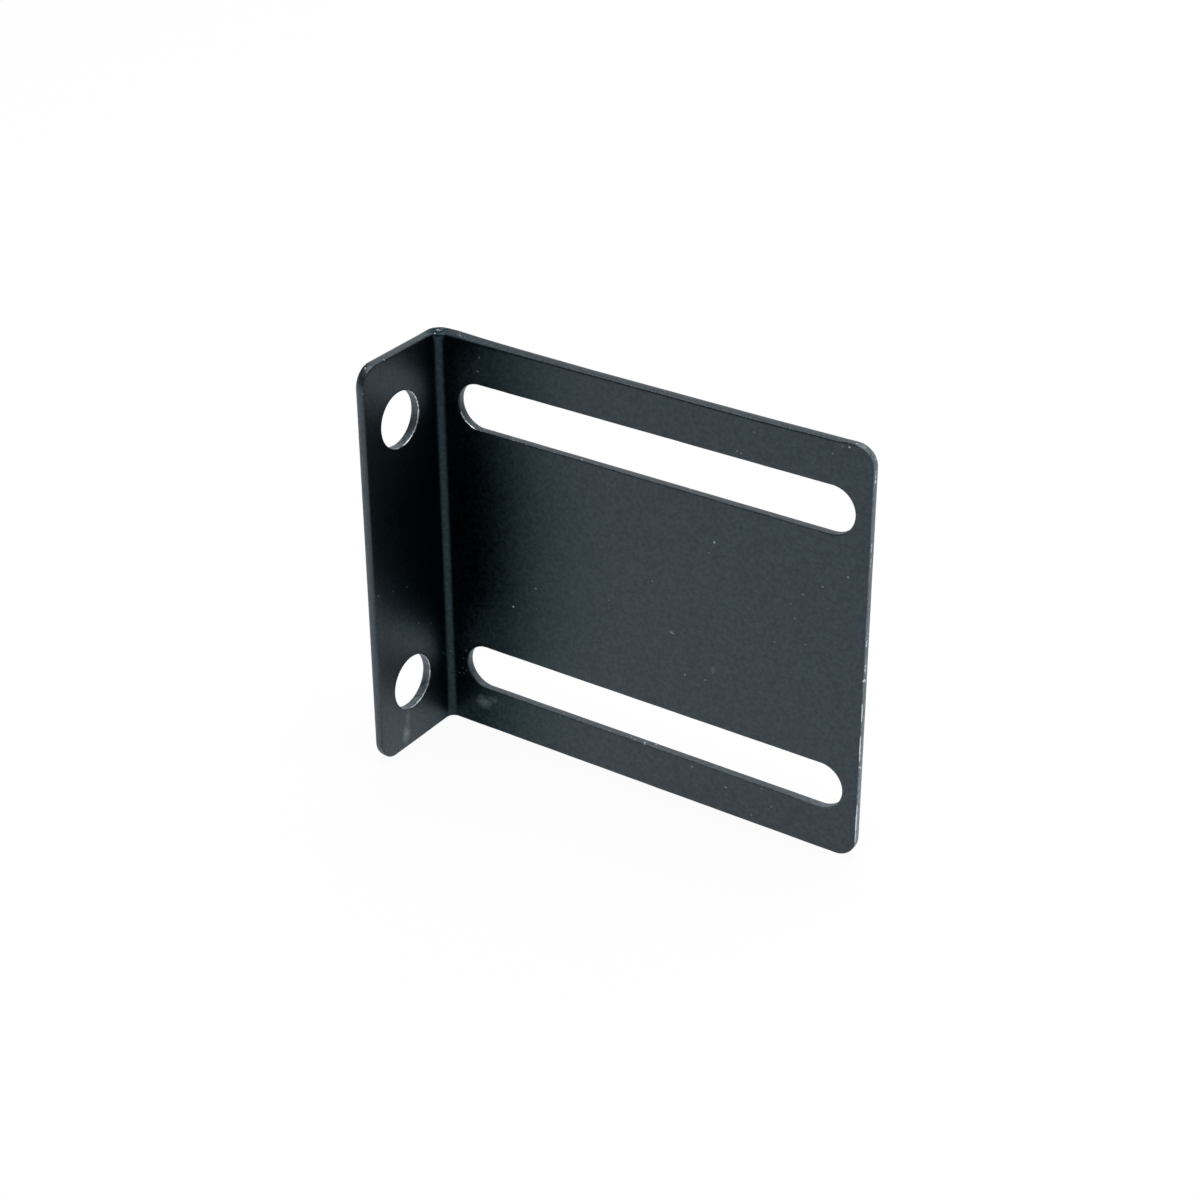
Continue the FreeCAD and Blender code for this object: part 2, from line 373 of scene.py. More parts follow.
# Bare steel at other places of the cut edges: first and last place, first and last w, reach, strength
EDGE_WEAR = (
    (at_top(on_plate(49.8)), at_plate_corner(86), 0.24, 0.30, 0.15, 0.46),
    (at_plate_corner(86), at_plate_corner(74), 0.30, 0.34, 0.17, 0.50),
    (at_plate_corner(74), at_plate_corner(63), 0.34, 0.36, 0.17, 0.46),
    (at_plate_corner(46), at_plate_corner(36), 0.62, 0.60, 0.20, 0.54),
    (at_plate_corner(36), at_plate_corner(24), 0.60, 0.55, 0.19, 0.50),
    (at_plate_end(21.10), at_plate_end(20.35), 0.36, 0.36, 0.15, 0.92),
    (at_plate_end(20.05), at_plate_end(19.90), 0.25, 0.45, 0.14, 1.70),
    (at_plate_end(13.40), at_plate_end(12.50), 0.24, 0.24, 0.17, 0.76),
    (at_plate_end(11.70), at_plate_end(10.70), 0.26, 0.26, 0.17, 0.70),
    (at_plate_end(3.40), at_plate_end(1.80), 0.26, 0.26, 0.18, 0.60),
    (at_plate_end(0.40), at_plate_end(-1.20), 0.34, 0.34, 0.18, 0.62),
    (at_plate_end(2.45), at_plate_end(2.40), 0.20, 0.35, 0.11, 1.10),
    (at_plate_end(2.00), at_plate_end(1.95), 0.20, 0.35, 0.11, 1.10),
    (at_plate_end(-0.35), at_plate_end(-0.40), 0.15, 0.35, 0.10, 1.10),
    (at_plate_end(-0.85), at_plate_end(-0.90), 0.15, 0.40, 0.12, 1.30),
    (at_plate_end(-2.00), at_plate_end(-2.15), 0.05, 0.50, 0.13, 1.50),
    (at_plate_end(-4.75), at_plate_end(-6.75), 0.08, 0.08, 0.11, 0.95),
    (at_plate_end(-8.60), at_plate_end(-9.6), 0.06, 0.05, 0.09, 1.30),
    (at_plate_end(-9.6), at_plate_end(-10.6), 0.05, 0.06, 0.11, 1.40),
    (at_plate_end(-10.6), at_plate_end(-11.5), 0.06, 0.08, 0.09, 1.20),
    (at_plate_end(-12.20), at_plate_end(-12.40), 0.08, 0.36, 0.11, 1.20),
    (at_plate_end(-16.85), at_plate_end(-18.2), 0.07, 0.05, 0.08, 1.20),
    (at_plate_end(-18.2), at_plate_end(-19.8), 0.05, 0.03, 0.11, 1.50),
    (at_plate_end(-19.8), at_plate_end(-21.40), 0.03, 0.02, 0.08, 1.30),
    (at_top(on_plate(49.5)), at_top(on_plate(49.55)), 0.00, 0.30, 0.11, 0.85),
    (at_top(on_plate(9.5)), at_top(on_plate(9.5)), 0.00, 0.12, 0.12, 0.90),
    (at_top(on_plate(3.5)), at_top(on_plate(3.9)), 0.75, 0.25, 0.14, 0.62),
    (at_upper_lip(9.9), at_upper_lip(16.5), 0.14, 0.14, 0.13, 0.44),
    (at_upper_lip(10.2), at_upper_lip(10.4), 0.60, 0.20, 0.10, 0.62),
    (at_upper_lip(13.4), at_upper_lip(13.6), 0.50, 0.15, 0.10, 0.62),
    (at_upper_lip(18.8), at_upper_lip(19.2), 0.65, 0.18, 0.14, 0.62),
    (at_upper_lip(20.0), at_upper_lip(20.0), 0.55, 0.30, 0.12, 0.55),
    (at_upper_lip(32.0), at_upper_lip(32.2), 0.85, 0.45, 0.14, 0.62),
    (at_lower_lip(22.3), at_lower_lip(23.4), 0.25, 0.25, 0.16, 0.46),
    (at_lower_lip(25.0), at_lower_lip(25.2), 0.60, 0.40, 0.13, 0.70),
    (at_lower_lip(25.7), at_lower_lip(25.7), 0.30, 0.15, 0.12, 0.66),
    (at_lower_lip(26.8), at_lower_lip(27.1), 0.50, 0.05, 0.14, 0.78),
    (at_lower_lip(28.0), at_lower_lip(28.1), 1.00, 0.55, 0.14, 0.62),
    (at_lower_lip(39.8), at_lower_lip(39.8), 0.75, 0.50, 0.11, 0.55),
    ((on_plate(3.78), 14.80), (on_plate(4.37), 13.95), 0.06, 0.06, 0.12, 0.90),
    ((on_plate(4.37), 13.95), (on_plate(5.30), 13.38), 0.06, 0.06, 0.12, 0.90),
    ((on_plate(5.30), 13.38), at_upper_lip(6.6), 0.06, 0.06, 0.11, 0.66),
    (at_top(on_flange(-2.0)), at_top(on_flange(-1.95)), 0.00, 0.20, 0.12, 0.80),
    (at_flange_corner(66), at_flange_corner(58), 0.60, 0.52, 0.16, 0.52),
    (at_flange_corner(40), at_flange_corner(30), 0.85, 0.85, 0.14, 0.45),
    (at_flange_end(21.05), at_flange_end(20.95), 0.10, 0.02, 0.16, 0.56),
    (at_flange_end(-2.45), at_flange_end(-2.85), 0.05, 0.45, 0.11, 0.60),
    (at_top(0.95), at_top(1.75), 0.52, 0.70, 0.34, 0.52),
    (at_top(1.30), at_top(1.55), 0.50, 0.60, 0.16, 0.58),
    (at_top(0.72), at_top(0.92), 0.18, 0.25, 0.16, 0.68),
    (at_top(1.70), at_top(1.80), 0.15, 0.22, 0.12, 0.60),
)
# How steeply it fades
EDGE_WEAR_SLOPE = 1.5
# Stands in for the length of a run that starts and ends at the same place
LEAST_RUN_SQUARED = 1e-9

# Colours of the coat, of bare steel, and of specks and smears
COAT_DARK = (0.0003, 0.0005, 0.0007)
COAT_LIGHT = (0.0016, 0.0019, 0.0021)
STEEL = (0.75, 0.80, 0.86)
PALE = (0.70, 0.82, 0.92)
# The colour of the coat's gloss, where it is whole, and where the fold's thin matt powder and painted
# shade lie
GLOSS_TINT = (0.63, 0.85, 1.0)
DULL_AND_SHADE_TINT = (0.42, 0.82, 1.0)
COAT_IOR = 1.79

# Noise in the coat: scale per metre, detail
GRAIN = (7000, 1)
FLECKS = (3600, 3)
BLOTCHES = (2400, 4)
SHEEN = (900, 3)
MOTTLE = (2600, 3)
PEEL = (2600, 3)
CUT_GRAIN = (5200, 2)
NOISE_MIDDLE = 0.5
# Ranges of that noise and of the marks, and what they become if it isn't 0 to 1
GRAIN_RANGE = (0.35, 0.75)
WORN_RANGE = (0.42, 0.86)
BARE_RANGE = (0.02, 0.2)
BLOTCH_RANGE = (0.36, 0.68, 0.16, 0.45)
SHEEN_RANGE = (0.3, 0.7, 0.395, 0.425)
MOTTLE_RANGE = (0.3, 0.7, 0.26, 0.0)
TINT_RANGE = (0.0, 0.6)
# How strongly flecks break up the bare steel, and how pale and rough the specks and smears are
FLECK_GAIN = 1.5
PALE_SHARE = 0.5
PALE_ROUGHNESS = 0.5
# Shares of metal: as a metal, a coat so dark has no gloss, so the fold's matt powder and painted shade
# darken it, and bare steel shines
DULL_AND_SHADE_METAL = 0.9
BARE_METAL = 0.5
# Depth of the bump in metres, and how much of their own grain the cut edges add to it
BUMP_DISTANCE = 1.6e-5
CUT_BUMP = 1.6

# Camera: lens, sensor and place in mm, azimuth, elevation and roll in degrees, clip distance in metres
CAMERA_LENS = 76.82
SENSOR_WIDTH = 36
CLIP_START = 0.01
CAMERA_TURN = (34.145, 29.279, -0.372)
CAMERA_PLACE = (153.57, -188.08, 129.52)

WHITE = (1, 1, 1, 1)
# Floor: half its side in metres, its colour, and how white it is to the camera and in reflections
FLOOR_REACH = 4.0
FLOOR_GREY = (0.92, 0.92, 0.92, 1)
FLOOR_SEEN_WHITE = 0.94
FLOOR_REFLECTED_WHITE = 0.8
# Strength of the light from all round
ROOM_LIGHT = 0.08
# Lamps: name, direction from the part, distance and size in metres, radiance
PANELS = (
    ("overhead_softbox", (0.08, 0.06, 1), 0.5, (0.5, 0.5), 4.0),
    ("back_panel", (0.0, 0.87, 0.49), 0.6, (1.4, 0.5), 1.0),
)


def outer_radius(angle):
    """Distances from the fold's axis to its outer face, which has a tighter arc of its own."""
    cos, sin = np.cos(angle), np.sin(angle)
    shift = FOLD_REACH - BEND_OUTSIDE
    along = shift * (cos + sin)
    on_arc = along + np.sqrt(np.maximum(along**2 - 2 * shift**2 + BEND_OUTSIDE**2, 0))
    long_side, short_side = np.maximum(cos, sin), np.minimum(cos, sin)
    on_flat = FOLD_REACH * short_side <= shift * long_side
    return np.where(on_flat, FOLD_REACH / long_side, on_arc)


def near_top(z, depth):
    """How near points are to the upper edge: 1 at the edge, 0 from this depth on."""
    return np.clip(1 - (HALF_HEIGHT - z) / depth, 0, 1) ** 2


def fold(s, z, w):
    """Places of points of the blank in the part's frame."""
    angle = np.clip(s / BEND_LENGTH, 0, 1) * QUARTER_TURN
    inside = BEND_INSIDE - FLARE * near_top(z, FLARE_DEPTH) * np.sin(2 * angle)
    radius = inside + (outer_radius(angle) - inside) * w / SHEET
    x = FOLD_X - radius * np.cos(angle) + np.maximum(s - BEND_LENGTH, 0)
    y = FOLD_Y + radius * np.sin(angle) + np.minimum(s, 0)
    return np.stack([x, y, z], axis=1)


def risen(s, z, w):
    """Heights of points of the blank with the uneven upper edge."""
    inner, outer = (np.interp(s, UPPER_RISE[:, 0], rise) for rise in UPPER_RISE[:, 1:].T)
    return z + near_top(z, RISE_DEPTH) * (inner + (outer - inner) * w / SHEET)


def dullness_and_painted_shade(s, z, w):
    """How matt the coat is: inside the fold, as thin powder and as painted shade, and on the fold's upper
    edge.
    """
    at_apex = np.clip(APEX_SLOPE * (1 - np.abs(s - APEX_MIDDLE) / APEX_HALF), 0, 1)
    apex = APEX_DULLNESS * at_apex * (z > HALF_HEIGHT - APEX_DEPTH)
    at_ends, at_middle = (np.interp(s, DULLNESS_AND_PAINTED_SHADE[:, 0], column) for column in DULLNESS_AND_PAINTED_SHADE[:, 1:].T)
    inside = at_middle + (at_ends - at_middle) * np.interp(np.abs(z), DULL_AND_SHADE_HEIGHTS, (0, 1))
    return np.maximum(inside * np.clip(1 - w / DULL_AND_SHADE_DEPTH, 0, 1), apex)


def rounded_loop(edge):
    """Points round a cut edge, and the directions that point away from its middle."""
    points, away = [], []
    arc_steps = max(LEAST_ARC_STEPS, round(QUARTER_TURN * edge.radius / EDGE_STEP))
    signs = ((1, 1), (-1, 1), (-1, -1), (1, -1))
    corners = [edge.middle + np.array(sign) * (edge.half - edge.radius) for sign in signs]
    for quarter, corner in enumerate(corners):
        angles = (quarter + np.arange(arc_steps + 1) / arc_steps) * QUARTER_TURN
        out = np.stack([np.cos(angles), np.sin(angles)], axis=1)
        points.append(corner + edge.radius * out)
        away.append(out)
        run = corners[(quarter + 1) % len(corners)] - corner
        line_steps = round(np.hypot(*run) / EDGE_STEP)
        if line_steps:
            share = np.arange(1, line_steps)[:, None] / line_steps
            points.append(corner + edge.radius * out[-1] + share * run)
            away.append(np.repeat(out[-1:], line_steps - 1, axis=0))
        else:
            points[-1], away[-1] = points[-1][:-1], away[-1][:-1]
    return np.concatenate(points), np.concatenate(away)


def rounded_distance(points, edge):
    """Distances of points from a cut edge, negative inside it."""
    reach = np.abs(points - edge.middle) - (edge.half - edge.radius)
    outside = np.hypot(*np.maximum(reach, 0).T)
    return outside + np.minimum(reach.max(axis=1), 0) - edge.radius


def off_openings(points, side):
    """Distances of points from the nearest opening's rounding on a face."""
    openings = EDGES[OUTLINE + 1:]
    return np.min([rounded_distance(points, edge) - edge.inset(side) for edge in openings], axis=0)


def on_face(points, side):
    """Distances of points from the nearest edge's rounding on a face, positive on the flat part."""
    outline = EDGES[OUTLINE]
    off_outline = -rounded_distance(points, outline) - outline.inset(side)
    return np.minimum(off_outline, off_openings(points, side))


def edge_profile(rounds):
    """Offsets into the face, depths into the sheet and shares of unevenness, from the inner face on."""
    (offset_in, depth_in), (offset_out, depth_out) = rounds
    turn_in = np.linspace(0, QUARTER_TURN, INNER_STEPS + 1)
    turn_out = np.linspace(0, QUARTER_TURN, OUTER_STEPS + 1)
    wall_length = SHEET - depth_in - depth_out
    wall_steps = max(LEAST_WALL_STEPS, round(wall_length / WALL_STEP))
    wall = depth_in + np.linspace(0, wall_length, wall_steps + 1)[1:-1]
    level = np.zeros(len(wall))
    offsets = [offset_in * (1 - np.sin(turn_in)), level, offset_out * (1 - np.cos(turn_out))]
    depths = [depth_in * (1 - np.cos(turn_in)), wall, SHEET - depth_out * (1 - np.sin(turn_out))]
    shares = [np.sin(turn_in), level + 1, np.cos(turn_out)]
    return np.concatenate(offsets), np.concatenate(depths), np.concatenate(shares)


def smooth_noise(places, length):
    """Noise between -1 and 1 that changes over about this length."""
    return np.array([noise.noise(Vector(place) / length) for place in places])


def fill(loops, loose, side):
    """Triangles between loops and over loose points, as indices into the loops' and the loose points."""
    points, edges = [], []
    for loop in loops:
        first, count = len(points), len(loop)
        points += [Vector(p) for p in loop]
        edges += [(first + k, first + (k + 1) % count) for k in range(count)]
    points += [Vector(p) for p in loose]
    flat, _, faces, sources, _, _ = geometry.delaunay_2d_cdt(points, edges, [], FILL_INSIDE, SAME_POINT)
    sums = [sum((flat[corner] for corner in face), Vector((0, 0))) for face in faces]
    middles = np.array([total / len(face) for total, face in zip(sums, faces)])
    kept = off_openings(middles, side) > OPENING_MARGIN
    return [tuple(sources[corner][0] for corner in face) for face, keep in zip(faces, kept) if keep]


def face_points(loops, side):
    """Points inside a face: a grid that is finer across the bend, and a row along its edges."""
    flange = np.linspace(-FLANGE_LENGTH, 0, round(FLANGE_LENGTH / FACE_STEP) + 1)[:-1]
    bend = np.linspace(0, BEND_LENGTH, round(BEND_LENGTH / BEND_STEP) + 1)[:-1]
    plate = np.linspace(0, PLATE_LENGTH, round(PLATE_LENGTH / FACE_STEP) + 1) + BEND_LENGTH
    heights = np.linspace(-HALF_HEIGHT, HALF_HEIGHT, round(2 * HALF_HEIGHT / FACE_STEP) + 1)
    grid = np.stack(np.meshgrid(np.concatenate([flange, bend, plate]), heights), axis=2).reshape(-1, 2)
    grid = grid[on_face(grid, side) > GRID_MARGIN]
    support = np.concatenate([
        points - away * (edge.inset(side) + SUPPORT_OFFSET) for (points, away), edge in zip(loops, EDGES)])
    return np.concatenate([grid, support[::SUPPORT_STRIDE]])


def axis_of(mark):
    """The direction of a mark's length."""
    turn = math.radians(mark.turn)
    return math.cos(turn), math.sin(turn)


def in_mark(points, mark):
    """Places of points in a mark's own frame, where the mark is the unit circle."""
    cos, sin = axis_of(mark)
    away = points - np.array([mark.s, mark.z])
    along, across = away @ (cos, sin), away @ (-sin, cos)
    return np.stack([along / mark.half_length, across / mark.half_width], axis=1)


def out_of_mark(places, mark):
    """Points of the blank from places in a mark's own frame."""
    cos, sin = axis_of(mark)
    along, across = places[:, 0] * mark.half_length, places[:, 1] * mark.half_width
    return np.stack([mark.s + along * cos - across * sin, mark.z + along * sin + across * cos], axis=1)


def speck_points():
    """Extra points of the inner face round every speck, and how strongly the speck shows at each."""
    angles = np.arange(SPECK_SIDES) / SPECK_SIDES * 2 * math.pi
    circle = np.stack([np.cos(angles), np.sin(angles)], axis=1)
    points, strengths = [], []
    for mark in SPECKS:
        points.append(np.array([[mark.s, mark.z]]))
        strengths.append([mark.strength])
        for reach, share in SPECK_RINGS:
            points.append(out_of_mark(reach * circle, mark))
            strengths.append(np.full(SPECK_SIDES, mark.strength * share))
    return np.concatenate(points), np.concatenate(strengths)


def smear_points():
    """A finer grid on the inner face under every smear."""
    points = []
    for mark in SMEARS:
        reach = SMEAR_GRID * max(mark.half_length, mark.half_width)
        line = np.arange(-reach, reach, SMEAR_STEP)
        grid = np.stack(np.meshgrid(line, line), axis=2).reshape(-1, 2) + np.array([mark.s, mark.z])
        points.append(grid[np.hypot(*in_mark(grid, mark).T) < SMEAR_KEPT])
    return np.concatenate(points)


def smear_strength(points):
    """How strongly smears show at points of the inner face."""
    strength = np.zeros(len(points))
    for mark in SMEARS:
        away = np.hypot(*in_mark(points, mark).T)
        strength = np.maximum(strength, mark.strength * np.clip(SMEAR_FADED - away, 0, 1))
    return strength


def end_shares(number, away):
    """How much the points of a cut edge belong to the plate's end, and how much to the flange's end."""
    if number != OUTLINE:
        return np.zeros((2, len(away)))
    return np.clip([away[:, 0], -away[:, 0]], 0, 1) ** 2


def wall_smear(number, points, away):
    """How strongly smears show on a cut edge's wall."""
    s, z = points.T
    if number == OUTLINE:
        at_plate_end, _ = end_shares(number, away)
        low = np.clip((LOW_START - z) / LOW_RUN, 0, 1)
        diagonal = np.clip((away @ DIAGONAL - DIAGONAL_START) / DIAGONAL_RUN, 0, 1) * (z > 0)
        return PLATE_END_SMEAR * np.maximum(at_plate_end * (1 + LOW_GAIN * low), DIAGONAL_SHARE * diagonal)
    smear = np.full(len(points), OPENING_SMEAR[number])
    if number == LOWER_SLOT:
        smear *= 1 + SLOT_END_GAIN * np.clip((s - SLOT_END_START) / SLOT_END_RUN, 0, 1)
    return smear


def rim_strength(number, points):
    """How strongly bare steel shows round a hole's inner rim."""
    strength = np.zeros(len(points))
    away = points - EDGES[number].middle
    angles = np.arctan2(away[:, 1], away[:, 0])
    for hole, first, last, value in RIM_WEAR:
        if hole == number:
            middle, half = math.radians((first + last) / 2), math.radians((last - first) / 2)
            beyond = np.abs((angles - middle + math.pi) % (2 * math.pi) - math.pi) - half
            strength = np.maximum(strength, value * np.clip(1 - beyond / RIM_WEAR_FADE, 0, 1))
    return strength


def edge_strength(points):
    """How strongly bare steel shows at points of the cut edges, given as s, z and w."""
    strength = np.zeros(len(points))
    for first_place, last_place, first_w, last_w, reach, value in EDGE_WEAR:
        first, last = np.array([*first_place, first_w]), np.array([*last_place, last_w])
        run = last - first
        share = np.clip((points - first) @ run / max(run @ run, LEAST_RUN_SQUARED), 0, 1)
        away = np.linalg.norm(points - first - share[:, None] * run, axis=1)
        strength = np.maximum(strength, value * np.clip(EDGE_WEAR_SLOPE * (1 - away / reach), 0, 1))
    return strength


class Blank:
    """Points, faces and marks of the flat blank."""

    def __init__(self):
        self.points = []
        self.flat = ([], [])
        self.marks = {"bare": [], "speck": [], "smear": [], "cut": []}
        self.faces = []
        self.charts = []
        self.count = 0

    def add_points(self, points, inner_flat, outer_flat, **marks):
        """Add points with their places in the two charts, and return their indices."""
        self.points.append(points)
        self.flat[INNER].append(inner_flat)
        self.flat[OUTER].append(outer_flat)
        for name, values in self.marks.items():
            values.append(marks.get(name, np.zeros(len(points))))
        self.count += len(points)
        return np.arange(self.count - len(points), self.count)

    def add_faces(self, faces, chart):
        self.faces += faces
        self.charts += [chart] * len(faces)


def add_cut_edge(blank, number, points, away):
    """Add the faces round one cut edge, whose points have the sheet to their left.

    Returns the indices of its inner and its outer border.
    """
    offsets, depths, shares = edge_profile(EDGES[number].rounds)
    arc = np.concatenate([[0], np.cumsum(np.hypot(np.diff(offsets), np.diff(depths)))])
    at_rim = np.clip(RIM_WEAR_SLOPE * (1 - np.abs(arc - RIM_WEAR_MIDDLE) / RIM_WEAR_REACH), 0, 1)
    wave = EDGE_WAVE * smooth_noise(np.c_[points, np.zeros(len(points))], EDGE_WAVE_LENGTH)
    rim = rim_strength(number, points)
    smear = wall_smear(number, points, away)
    plate_end, flange_end = end_shares(number, away)
    rings = []
    for ring, (offset, depth, share) in enumerate(zip(offsets, depths, shares)):
        inset = np.full(len(points), offset)
        if ring < INNER_STEPS:
            inset *= 1 - (1 - PLATE_END_ROUND) * plate_end
        level = np.full(len(points), depth)
        grain = EDGE_GRAIN * smooth_noise(np.c_[points, level], EDGE_GRAIN_LENGTH)
        moved = points + away * ((wave + grain) * share - inset)[:, None]
        even = points - away * inset[:, None]
        rings.append(blank.add_points(
            np.c_[moved, level],
            points + away * (arc[ring] - offsets[0]),
            points + away * (arc[-1] - arc[ring] - offsets[-1]),
            bare=np.maximum(rim * at_rim[ring], edge_strength(np.c_[even, level])),
            smear=smear * share + FLANGE_END_SMEAR * flange_end * depth / SHEET,
            cut=np.full(len(points), share),
        ))
    for ring, (here, there) in enumerate(zip(rings, rings[1:])):
        quads = zip(here, there, np.roll(there, -1), np.roll(here, -1))
        blank.add_faces(list(quads), INNER if ring < len(rings) // 2 else OUTER)
    return rings[0], rings[-1]


def add_sheet_face(blank, borders, loose, side, **marks):
    """Add the triangles of a face, with loose points between its borders."""
    placed = np.concatenate(blank.points)
    border_loops = [placed[border][:, :2] for border in borders]
    level = np.full(len(loose), side * SHEET)
    added = blank.add_points(np.c_[loose, level], loose, loose, **marks)
    index = np.concatenate([*borders, added])
    order = 1 if side == INNER else -1
    faces = fill(border_loops, loose, side)
    blank.add_faces([tuple(index[list(face)][::order]) for face in faces], side)


def make_blank():
    """The flat blank, with specks and smears on its inner face."""
    outline, *openings = (rounded_loop(edge) for edge in EDGES)
    loops = [outline, *((points[::-1], -away[::-1]) for points, away in openings)]
    blank = Blank()
    borders = [add_cut_edge(blank, number, *loop) for number, loop in enumerate(loops)]
    inner_borders, outer_borders = zip(*borders)

    specks, strengths = speck_points()
    plain = np.concatenate([face_points(loops, INNER), smear_points()])
    plain = plain[on_face(plain, INNER) > POINT_MARGIN]
    inner = np.concatenate([plain, specks])
    add_sheet_face(
        blank, inner_borders, inner, INNER,
        speck=np.concatenate([np.zeros(len(plain)), strengths]), smear=smear_strength(inner))
    add_sheet_face(blank, outer_borders, face_points(loops, OUTER), OUTER)
    return blank


def chart_places(blank):
    """Places of the points in the two charts, in a unit square."""
    size = 2 * (BLANK_HALF + CHART_MARGIN)
    side = max(size[0], 2 * size[1])
    corner = BLANK_MIDDLE - size / 2
    inner = (np.concatenate(blank.flat[INNER]) - corner) / side
    outer = (np.concatenate(blank.flat[OUTER]) - corner + np.array([0, size[1]])) / side
    return np.stack([inner, outer])


def bracket_mesh():
    """The folded mesh, with its marks as attributes and its flat layout for baking."""
    blank = make_blank()
    s, z, w = np.concatenate(blank.points).T
    places = fold(s, risen(s, z, w), w)
    mesh = bpy.data.meshes.new("bracket_sheet")
    mesh.from_pydata((places * MM).tolist(), [], [tuple(map(int, face)) for face in blank.faces])
    mesh.shade_smooth()
    marks = {name: np.concatenate(values) for name, values in blank.marks.items()}
    # A mark that darkens the gloss: thin matt powder in the fold, and painted shade there and beside it
    marks["dull"] = dullness_and_painted_shade(s, z, w)
    for name, values in marks.items():
        attribute = mesh.attributes.new(name, "FLOAT", "POINT")
        attribute.data.foreach_set("value", values.astype(np.float32))
    corners = np.concatenate([np.array(face) for face in blank.faces])
    charts = np.repeat(blank.charts, [len(face) for face in blank.faces])
    layout = mesh.uv_layers.new(name="OFBake")
    layout.data.foreach_set("uv", chart_places(blank)[charts, corners].astype(np.float32).ravel())
    return mesh


class Graph:
    """Adds nodes to a shader tree. An input is given as a value or as the socket that feeds it."""

    def __init__(self, tree):
        self.tree = tree
        tree.nodes.clear()

    def feed(self, socket, value):
        if isinstance(value, bpy.types.NodeSocket):
            self.tree.links.new(value, socket)
        else:
            socket.default_value = value

    def add(self, kind, inputs=(), **settings):
        node = self.tree.nodes.new("ShaderNode" + kind)
        for name, value in settings.items():
            setattr(node, name, value)
        for name, value in dict(inputs).items():
            self.feed(node.inputs[name], value)
        return node

    def mark(self, name):
        return self.add("Attribute", attribute_name=name).outputs["Fac"]

    def noise(self, place, scale, detail):
        return self.add("TexNoise", {"Vector": place, "Scale": scale, "Detail": detail}).outputs["Fac"]

    def ramp(self, value, low, high, to_low=0.0, to_high=1.0):
        inputs = {"Value": value, "From Min": low, "From Max": high, "To Min": to_low, "To Max": to_high}
        return self.add("MapRange", inputs).outputs["Result"]

    def math(self, operation, *values):
        return self.add("Math", dict(enumerate(values)), operation=operation).outputs[0]

    def blend(self, share, first, second):
        """Mix two colours. The node's colour sockets are its inputs 6 and 7 and its output 2."""
        node = self.add("Mix", {0: share}, data_type="RGBA")
        for socket, colour in ((node.inputs[6], first), (node.inputs[7], second)):
            self.feed(socket, (*colour, 1) if isinstance(colour, tuple) else colour)
        return node.outputs[2]


def wear_shares(g, place):
    """Shares of bare steel, and of specks and smears."""
    mark = g.mark("bare")
    flecks = g.math("SUBTRACT", g.noise(place, *FLECKS), NOISE_MIDDLE)
    worn = g.math("MULTIPLY_ADD", flecks, FLECK_GAIN, mark)
    bare = g.math("MULTIPLY", g.ramp(worn, *WORN_RANGE), g.ramp(mark, *BARE_RANGE))
    blotches = g.ramp(g.noise(place, *BLOTCHES), *BLOTCH_RANGE)
    smear = g.math("MULTIPLY", g.mark("smear"), blotches)
    pale = g.math("MULTIPLY", g.math("MAXIMUM", g.mark("speck"), smear), PALE_SHARE)
    return bare, pale


def coat_colour(g, place, bare, pale):
    coat = g.blend(g.ramp(g.noise(place, *GRAIN), *GRAIN_RANGE), COAT_DARK, COAT_LIGHT)
    return g.blend(bare, g.blend(pale, coat, PALE), STEEL)


def coat_roughness(g, place, pale):
    sheen = g.ramp(g.noise(place, *SHEEN), *SHEEN_RANGE)
    return g.math("MULTIPLY_ADD", pale, PALE_ROUGHNESS, sheen)


def coat_metal(g, place, dull, bare):
    mottle = g.ramp(g.noise(place, *MOTTLE), *MOTTLE_RANGE)
    # The metal share darkens the gloss in the fold: thin matt powder and painted shade
    coat = g.math("ADD", g.math("MULTIPLY", dull, DULL_AND_SHADE_METAL), mottle)
    return g.math("MULTIPLY_ADD", bare, BARE_METAL, coat)


def coat_normal(g, place):
    cut = g.math("MULTIPLY", g.mark("cut"), g.noise(place, *CUT_GRAIN))
    height = g.math("MULTIPLY_ADD", cut, CUT_BUMP, g.noise(place, *PEEL))
    bump = g.add("Bump", {"Height": height, "Distance": BUMP_DISTANCE, "Strength": 1.0})
    return bump.outputs["Normal"]


def coat_material():
    """Satin black powder coat with dirty and worn places, and with its gloss darkened in the fold as thin
    matt powder and as painted shade.
    """
    material = bpy.data.materials.new("black_powder_coat")
    material.use_nodes = True
    g = Graph(material.node_tree)
    place = g.add("TexCoord").outputs["Object"]
    # The fold's thin matt powder and painted shade
    dull = g.mark("dull")
    bare, pale = wear_shares(g, place)
    shader = g.add("BsdfPrincipled", {
        "Base Color": coat_colour(g, place, bare, pale),
        "Roughness": coat_roughness(g, place, pale),
        "Metallic": coat_metal(g, place, dull, bare),
        "IOR": COAT_IOR,
        # A bluer gloss where the fold's matt powder and painted shade lie
        "Specular Tint": g.blend(g.ramp(dull, *TINT_RANGE), GLOSS_TINT, DULL_AND_SHADE_TINT),
        "Normal": coat_normal(g, place),
    })
    g.add("OutputMaterial", {"Surface": shader.outputs["BSDF"]})
    return material


def add_object(name, data):
    thing = bpy.data.objects.new(name, data)
    bpy.context.scene.collection.objects.link(thing)
    return thing


def make_camera():
    data = bpy.data.cameras.new("camera")
    data.lens = CAMERA_LENS
    data.sensor_width = SENSOR_WIDTH
    data.clip_start = CLIP_START
    azimuth, elevation, roll = (math.radians(degrees) for degrees in CAMERA_TURN)
    heading = Matrix.Rotation(azimuth, 4, "Z")
    tilt = Matrix.Rotation(QUARTER_TURN - elevation, 4, "X")
    turn = heading @ tilt @ Matrix.Rotation(roll, 4, "Z")
    camera = add_object("camera", data)
    camera.matrix_world = Matrix.Translation(Vector(CAMERA_PLACE) * MM) @ turn
    bpy.context.scene.camera = camera


